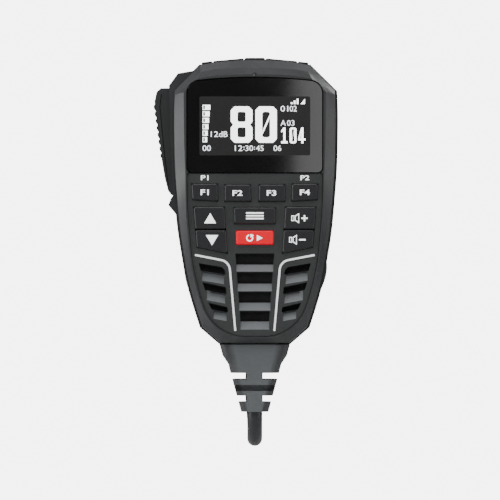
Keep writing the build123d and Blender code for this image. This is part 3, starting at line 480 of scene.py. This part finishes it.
# ---------------------------------------------------------------- marks on the keys and the panel
KEY_Y, PANEL_Y, LENS_Y = -34.72, -34.02, -34.32
words("mark_f1", [("F1", -19.0, -18.75, -15.2, -16.85)], KEY_Y, "key_f1_body", bold=0.018)
words("mark_f2", [("F2", -7.8, -19.0, -4.0, -17.1)], KEY_Y, "key_f2_body", bold=0.018)
words("mark_f3", [("F3", 3.8, -19.0, 7.6, -17.1)], KEY_Y, "key_f3_body", bold=0.018)
words("mark_f4", [("F4", 15.2, -18.75, 19.0, -16.85)], KEY_Y, "key_f4_body", bold=0.018)
words("panel_marks", [("P1", -18.6, -13.65, -15.6, -12.0), ("P2", 15.6, -13.65, 18.6, -12.0)], PANEL_Y, "root", bold=0.014)
marks("mark_menu", [rect(-3.0, z, 3.0, z + 0.48) for z in (-27.0, -26.05, -25.1)], KEY_Y, "key_menu_body")
ring = arc_band(-1.75, -33.4, 1.0, 0.42, 100, 395)
head_x, head_z = -1.75 + 1.0 * math.cos(math.radians(395)), -33.4 + 1.0 * math.sin(math.radians(395))
marks("mark_replay", [ring, turned([[(head_x - 0.75, head_z - 0.05), (head_x + 0.75, head_z - 0.05), (head_x, head_z + 1.0)]], head_x, head_z, 35),
                      [[(0.7, -34.4), (2.7, -33.4), (0.7, -32.4)]]], KEY_Y, "key_replay_body")
marks("mark_up", [[[(-17.3, -28.4), (-13.2, -28.4), (-15.2, -24.9)]]], KEY_Y, "key_up_body")
marks("mark_down", [[[(-16.7, -32.4), (-14.6, -35.9), (-12.5, -32.4)]]], KEY_Y, "key_down_body")


def horn(x, z):
    """A loudspeaker sign, 2.7 wide and 3.4 high, as outlines."""
    w = 0.27
    box = [[(x, z - 0.95), (x + 1.05, z - 0.95), (x + 1.05, z + 0.95), (x, z + 0.95)],
           [(x + w, z - 0.95 + w), (x + 1.05 - w, z - 0.95 + w), (x + 1.05 - w, z + 0.95 - w), (x + w, z + 0.95 - w)]]
    cone = [[(x + 1.25, z - 0.85), (x + 2.65, z - 1.75), (x + 2.65, z + 1.75), (x + 1.25, z + 0.85)],
            [(x + 1.25 + w, z - 0.68), (x + 2.65 - w, z - 1.15), (x + 2.65 - w, z + 1.15), (x + 1.25 + w, z + 0.68)]]
    return [box, cone]


plus = [[(15.9, -26.9), (16.7, -26.9), (16.7, -27.7), (17.2, -27.7), (17.2, -26.9), (18.0, -26.9), (18.0, -26.4), (17.2, -26.4),
         (17.2, -25.6), (16.7, -25.6), (16.7, -26.4), (15.9, -26.4)]]
marks("mark_volume_up", horn(12.45, -26.65) + [plus], KEY_Y, "key_volume_up_body")
marks("mark_volume_down", horn(11.7, -34.0) + [rect(15.1, -34.25, 17.35, -33.75)], KEY_Y, "key_volume_down_body")

# ---------------------------------------------------------------- the display's picture, on the lens
marks("screen_ground", [[[(-18.5, -5.2), (18.5, -5.2), (18.9, -4.8), (18.9, 14.5), (18.5, 14.9), (-18.5, 14.9), (-18.9, 14.5), (-18.9, -4.8)]]],
      -34.305, "root", "screen", 0.03)
bars = []
for i in range(6):
    z = 12.0 - i * 2.2
    wide = 2.6 - 0.22 * i
    bars.append([[(-17.8, z), (-17.8, z - 1.7), (-17.8 + wide, z - 1.7), (-17.8 + wide, z)],
                 [(-17.6, z - 0.25), (-17.6, z - 1.45), (-17.0, z - 1.45), (-17.0, z - 0.25)]])


def blocky(x0, z0, x1, z1, w, c, kind):
    """A bold cut-corner numeral in a box: stroke w, corner cut c."""
    def oct_(a0, b0, a1, b1, k):
        return [(a0 + k, b0), (a1 - k, b0), (a1, b0 + k), (a1, b1 - k), (a1 - k, b1), (a0 + k, b1), (a0, b1 - k), (a0, b0 + k)]
    m = (z0 + z1) / 2
    if kind == "0":
        return [[oct_(x0, z0, x1, z1, c), oct_(x0 + w, z0 + w * 0.8, x1 - w, z1 - w * 0.8, c * 0.4)],
                [[(x0 + w + 0.05, z0 + w * 1.7), (x0 + w + 0.05, z0 + w * 1.15), (x1 - w - 0.05, z1 - w * 1.7), (x1 - w - 0.05, z1 - w * 1.15)]]]
    if kind == "8":
        n = w * 0.35
        return [[[(x0 + c, z0), (x1 - c, z0), (x1, z0 + c), (x1, m - n - 0.3), (x1 - n, m), (x1, m + n + 0.3), (x1, z1 - c), (x1 - c, z1),
                  (x0 + c, z1), (x0, z1 - c), (x0, m + n + 0.3), (x0 + n, m), (x0, m - n - 0.3), (x0, z0 + c)],
                 oct_(x0 + w, z0 + w * 0.8, x1 - w, m - w * 0.4, c * 0.3), oct_(x0 + w, m + w * 0.4, x1 - w, z1 - w * 0.8, c * 0.3)]]
    if kind == "1":
        mid = (x0 + x1) / 2
        return [[[(x0, z0), (x1, z0), (x1, z0 + w), (mid + w / 2, z0 + w), (mid + w / 2, z1), (mid - w / 2, z1), (x0, z1 - w * 1.6),
                  (x0, z1 - w * 2.4), (mid - w / 2, z1 - w * 1.6), (mid - w / 2, z0 + w), (x0, z0 + w)]]]
    if kind == "4":
        return [[[(x1 - 2 * w, z0), (x1 - w, z0), (x1 - w, z0 + w * 1.4), (x1, z0 + w * 1.4), (x1, z0 + w * 2.3), (x1 - w, z0 + w * 2.3), (x1 - w, z1),
                  (x1 - 2 * w, z1), (x0, z0 + w * 2.3), (x0, z0 + w * 1.4), (x1 - 2 * w, z0 + w * 1.4)],
                 [(x1 - 2 * w, z0 + w * 2.3), (x1 - 2 * w, z1 - w * 1.9), (x0 + w * 0.9, z0 + w * 2.3)]]]


picture = bars
picture += blocky(-8.2, -0.9, -0.8, 11.5, 2.3, 1.3, "8") + blocky(0.2, -0.9, 7.5, 11.5, 2.3, 1.3, "0")
picture += blocky(9.0, -1.1, 11.2, 4.3, 0.72, 0.4, "1") + blocky(11.9, -1.1, 14.2, 4.3, 0.72, 0.5, "0") + blocky(14.8, -1.1, 17.3, 4.3, 0.72, 0.4, "4")
picture += [[[(15.6, 12.3), (17.1, 12.3), (17.1, 14.1)]], rect(12.3, 12.3, 12.9, 12.9), rect(13.3, 12.3, 13.9, 13.5), rect(14.3, 12.3, 14.9, 14.1)]
marks("screen_picture", picture, -34.33, "root", "pixel", 0.03)
words("screen_small", [("12", -15.0, 1.1, -12.5, 3.0), ("dB", -12.2, 1.1, -9.3, 3.0), ("01", 8.8, 9.75, 11.4, 11.7), ("02", 11.9, 9.75, 14.3, 11.7),
                       ("A", 8.8, 4.9, 10.6, 6.8), ("03", 11.0, 4.9, 13.5, 6.8), ("00", -17.8, -3.7, -15.0, -1.8), ("12", -6.8, -3.7, -4.2, -1.8),
                       ("30", -3.2, -3.7, -0.6, -1.8), ("45", 0.4, -3.7, 3.0, -1.8), ("06", 6.4, -3.7, 9.0, -1.8)], -34.33, "root", "pixel_fine", 0.03)
marks("screen_dots", [rect(x, z, x + 0.3, z + 0.3) for x in (-3.85, -0.25) for z in (-3.3, -2.5)], -34.33, "root", "pixel_fine", 0.03)


# ---------------------------------------------------------------- the hook-and-loop tie
TIE_Y, TIE_Z0, TIE_Z1 = 2.45, -24.0, -14.0


def loop_points(half_x, half_y, r, per_corner=8, per_side=10):
    """A rounded rectangle's points and outward normals, about (0, TIE_Y), from the middle of the rear side."""
    pts = []
    corners = ((half_x - r, half_y - r, 90, 0), (half_x - r, -half_y + r, 0, -90), (-half_x + r, -half_y + r, -90, -180), (-half_x + r, half_y - r, 180, 90))
    for cx, cy, a0, a1 in corners:
        for i in range(per_corner + 1):
            a = math.radians(a0 + (a1 - a0) * i / per_corner)
            pts.append(((cx + r * math.cos(a), TIE_Y + cy + r * math.sin(a)), (math.cos(a), math.sin(a))))
    out = []
    for i, (p, nrm) in enumerate(pts):
        q, nq = pts[(i + 1) % len(pts)]
        out.append((p, nrm))
        if math.dist(p, q) > 4:
            for k in range(1, per_side):
                u = k / per_side
                out.append(((p[0] + (q[0] - p[0]) * u, p[1] + (q[1] - p[1]) * u), nrm))
    return out


def strap_profile(half_w, thick):
    """Across a strap: (along the width, outward), with soft edges and a raised edge band."""
    w = half_w
    t = thick / 2
    return [(-w, 0), (-w + 0.12, t * 0.8), (-w + 0.4, t), (-w + 1.3, t), (-w + 1.5, t * 0.72), (0, t * 0.62), (w - 1.5, t * 0.72), (w - 1.3, t), (w - 0.4, t),
            (w - 0.12, t * 0.8), (w, 0), (w - 0.12, -t * 0.8), (w - 0.4, -t), (-w + 0.4, -t), (-w + 0.12, -t * 0.8)]


def sweep_strap(bm, line, half_w, thick, zc, closed, taper=None):
    rings = []
    prof = strap_profile(half_w, thick)
    for i, ((x, y), (nx, ny)) in enumerate(line):
        k = 1.0 if taper is None else taper(i)
        rings.append([bm.verts.new(((x + nx * o) * MM, (y + ny * o) * MM, (zc + a * k) * MM)) for a, o in prof])
    n = len(prof)
    pairs = list(zip(rings, rings[1:])) + ([(rings[-1], rings[0])] if closed else [])
    for a, b in pairs:
        for j in range(n):
            bm.faces.new((a[j], a[(j + 1) % n], b[(j + 1) % n], b[j]))
    if not closed:
        bm.faces.new(rings[0])
        bm.faces.new(rings[-1])


def small_box(bm, c, sx, sy, sz, turn=0.0):
    geom = bmesh.ops.create_cube(bm, size=1.0)["verts"]
    m = Matrix.Translation(v3(c)) @ Matrix.Rotation(math.radians(turn), 4, "Y") @ Matrix.Diagonal((sx * MM, sy * MM, sz * MM, 1))
    bmesh.ops.transform(bm, matrix=m, verts=geom)
    edges = {e for v in geom for e in v.link_edges}
    bmesh.ops.bevel(bm, geom=list(edges), offset=min(sx, sy, sz) * 0.3 * MM, segments=2, affect="EDGES")


bm = bmesh.new()
sweep_strap(bm, loop_points(26.5, 5.7, 2.4), 5.0, 0.8, (TIE_Z0 + TIE_Z1) / 2, True)
# the free end, laid over the rear of the band
flap = [((-14.0 + 24.0 * i / 24, TIE_Y + 6.1 + 0.36 + 0.05 * math.sin(i * 0.7)), (0, 1)) for i in range(25)]
sweep_strap(bm, flap, 4.8, 0.66, (TIE_Z0 + TIE_Z1) / 2, False, lambda i: 1.0 if i < 20 else math.sqrt(max(0.08, 1 - ((i - 19.6) / 5.4) ** 2)))
# the tab, up to an eye round the button's neck
eye = [(6.5 * math.cos(math.radians(a)), 6.5 * math.sin(math.radians(a))) for a in range(0, 181, 10)]
outline = [(6.5, -23.4), *eye, (-6.5, -23.4), (-5.9, -24.0), (5.9, -24.0)]
hole = [(4.66 * math.cos(math.radians(a)), 4.66 * math.sin(math.radians(a))) for a in range(0, 360, 10)]
flat_into(bm, [[outline, hole]], -3.8, 0.72)
rim_out = [(5.6 * math.cos(math.radians(a)), 5.6 * math.sin(math.radians(a))) for a in range(0, 360, 10)]
flat_into(bm, [[rim_out, hole]], -3.95, 1.02)
bmesh.ops.recalc_face_normals(bm, faces=bm.faces[:])
for f in bm.faces:
    f.smooth = abs(f.normal.y) < 0.98
tie_mesh = bpy.data.meshes.new("tie_band")
bm.to_mesh(tie_mesh)
bm.free()
tie_mesh.set_sharp_from_angle(angle=math.radians(40))
tie_band = add_object("tie_band", tie_mesh, "tie", "root", ("hank_tie",))

bm = bmesh.new()
for x in (-13.0, -12.2):
    for k in range(8):
        small_box(bm, (x, TIE_Y + 6.1 + 0.66, TIE_Z0 + 1.45 + k * 1.02), 0.22, 0.22, 0.72)
for k in range(10):
    for z in (-22.8, -15.4):
        small_box(bm, (-5.0 + k * 1.1, -3.84, z), 0.75, 0.2, 0.22)
bmesh.ops.recalc_face_normals(bm, faces=bm.faces[:])
stitch_mesh = bpy.data.meshes.new("tie_stitches")
bm.to_mesh(stitch_mesh)
bm.free()
M["thread"] = moulded("tie_thread", (0.09, 0.09, 0.095), 0.7, 5000, 0.00002, 0.5)
tie_stitches = add_object("tie_stitches", stitch_mesh, "thread", "root")

# ---------------------------------------------------------------- the cores seen inside the clear plug
bm = bmesh.new()
for i in range(8):
    x = 18.2 + (i - 3.5) * 1.02
    prev = None
    for k, (z, y, s) in enumerate(((-3.6, 11.6, 0.55), (-1.5, 11.4, 0.7), (1.5, 10.6, 0.9), (5.0, 10.2, 1.0), (12.6, 10.2, 1.0))):
        cx = 18.2 + (x - 18.2) * s
        ringv = [bm.verts.new(((cx + 0.4 * math.cos(t * math.pi / 5)) * MM, (y + 0.4 * math.sin(t * math.pi / 5)) * MM, z * MM)) for t in range(10)]
        if prev:
            for t in range(10):
                f = bm.faces.new((prev[t], prev[(t + 1) % 10], ringv[(t + 1) % 10], ringv[t]))
                f.smooth = True
                f.material_index = i % 4
        else:
            bm.faces.new(ringv).material_index = i % 4
        prev = ringv
    bm.faces.new(prev).material_index = i % 4
bmesh.ops.recalc_face_normals(bm, faces=bm.faces[:])
core_mesh = bpy.data.meshes.new("plug_cores")
bm.to_mesh(core_mesh)
bm.free()
core_index = [p.material_index for p in core_mesh.polygons]
cores = add_object("plug_cores", core_mesh, "cord", "root")
core_mesh.materials.clear()
for k, tint in enumerate(((0.55, 0.03, 0.03), (0.75, 0.74, 0.70), (0.03, 0.12, 0.45), (0.60, 0.42, 0.03))):
    core_mesh.materials.append(moulded(f"core_{k}", tint, 0.4, 2500, 0.00001, 0.2, vary=0.08))
for p, k in zip(core_mesh.polygons, core_index):
    p.material_index = k

# ---------------------------------------------------------------- floor and lights


def area(name, loc, target, size, power, size_y=None, color=(1, 1, 1)):
    d = bpy.data.lights.new(name, "AREA")
    d.shape = "RECTANGLE"
    d.size = size
    d.size_y = size_y or size
    d.energy = power
    d.color = color
    o = bpy.data.objects.new(name, d)
    bpy.context.scene.collection.objects.link(o)
    o.location = loc
    o.rotation_euler = (Vector(target) - Vector(loc)).to_track_quat("-Z", "Y").to_euler()
    return o


centre = (0, -0.015, -0.03)
area("key_left", (-0.80, -0.20, 0.12), centre, 0.35, 7.0, 0.9)
area("top_soft", (0.0, -0.30, 0.85), centre, 0.7, 6.0, 0.4)
area("fill_right", (0.85, -0.25, 0.05), centre, 0.3, 3.0, 0.8)
area("front_soft", (-0.35, -1.30, 0.75), centre, 0.6, 5.0, 0.4)
area("lens_card", (0.110, -1.60, -0.02), centre, 0.16, 0.75, 0.5)
area("back_soft", (0.1, 0.9, 0.55), centre, 0.7, 5.0, 0.5)

# a white surround behind, dim as a light
world = bpy.data.worlds.new("studio")
world.use_nodes = True
wt = world.node_tree
bg = wt.nodes["Background"]
bg.inputs["Color"].default_value = (1, 1, 1, 1)
bg.inputs["Strength"].default_value = 0.16
seen = wt.nodes.new("ShaderNodeBackground")
seen.inputs["Color"].default_value = (1, 1, 1, 1)
seen.inputs["Strength"].default_value = 6.0
ray = wt.nodes.new("ShaderNodeLightPath")
pick = wt.nodes.new("ShaderNodeMixShader")
wt.links.new(ray.outputs["Is Camera Ray"], pick.inputs[0])
wt.links.new(bg.outputs[0], pick.inputs[1])
wt.links.new(seen.outputs[0], pick.inputs[2])
wt.links.new(pick.outputs[0], wt.nodes["World Output"].inputs["Surface"])
bpy.context.scene.world = world

# a round pale floor, below the microphone, which hangs
floor_mesh = bpy.data.meshes.new("floor")
bm = bmesh.new()
bmesh.ops.create_circle(bm, cap_ends=True, segments=96, radius=0.45, matrix=Matrix.Translation((0, 0, -0.16)))
bm.to_mesh(floor_mesh)
bm.free()
floor = bpy.data.objects.new("floor", floor_mesh)
bpy.context.scene.collection.objects.link(floor)
M["floor"] = moulded("floor_pale", (0.55, 0.55, 0.55), 0.8, 400, 0.00002, 0.05, vary=0.01)
ft = M["floor"].node_tree
pale = ft.nodes.new("ShaderNodeEmission")
pale.inputs["Color"].default_value = (1, 1, 1, 1)
direct = ft.nodes.new("ShaderNodeLightPath")
gain = ft.nodes.new("ShaderNodeMath")
gain.operation = "MULTIPLY"
gain.inputs[1].default_value = 4.5
ft.links.new(direct.outputs["Is Camera Ray"], gain.inputs[0])
ft.links.new(gain.outputs[0], pale.inputs["Strength"])
both = ft.nodes.new("ShaderNodeAddShader")
out = next(n for n in ft.nodes if n.type == "OUTPUT_MATERIAL")
surf = next(n for n in ft.nodes if n.type == "BSDF_PRINCIPLED")
ft.links.new(surf.outputs[0], both.inputs[0])
ft.links.new(pale.outputs[0], both.inputs[1])
ft.links.new(both.outputs[0], out.inputs["Surface"])
floor.data.materials.append(M["floor"])
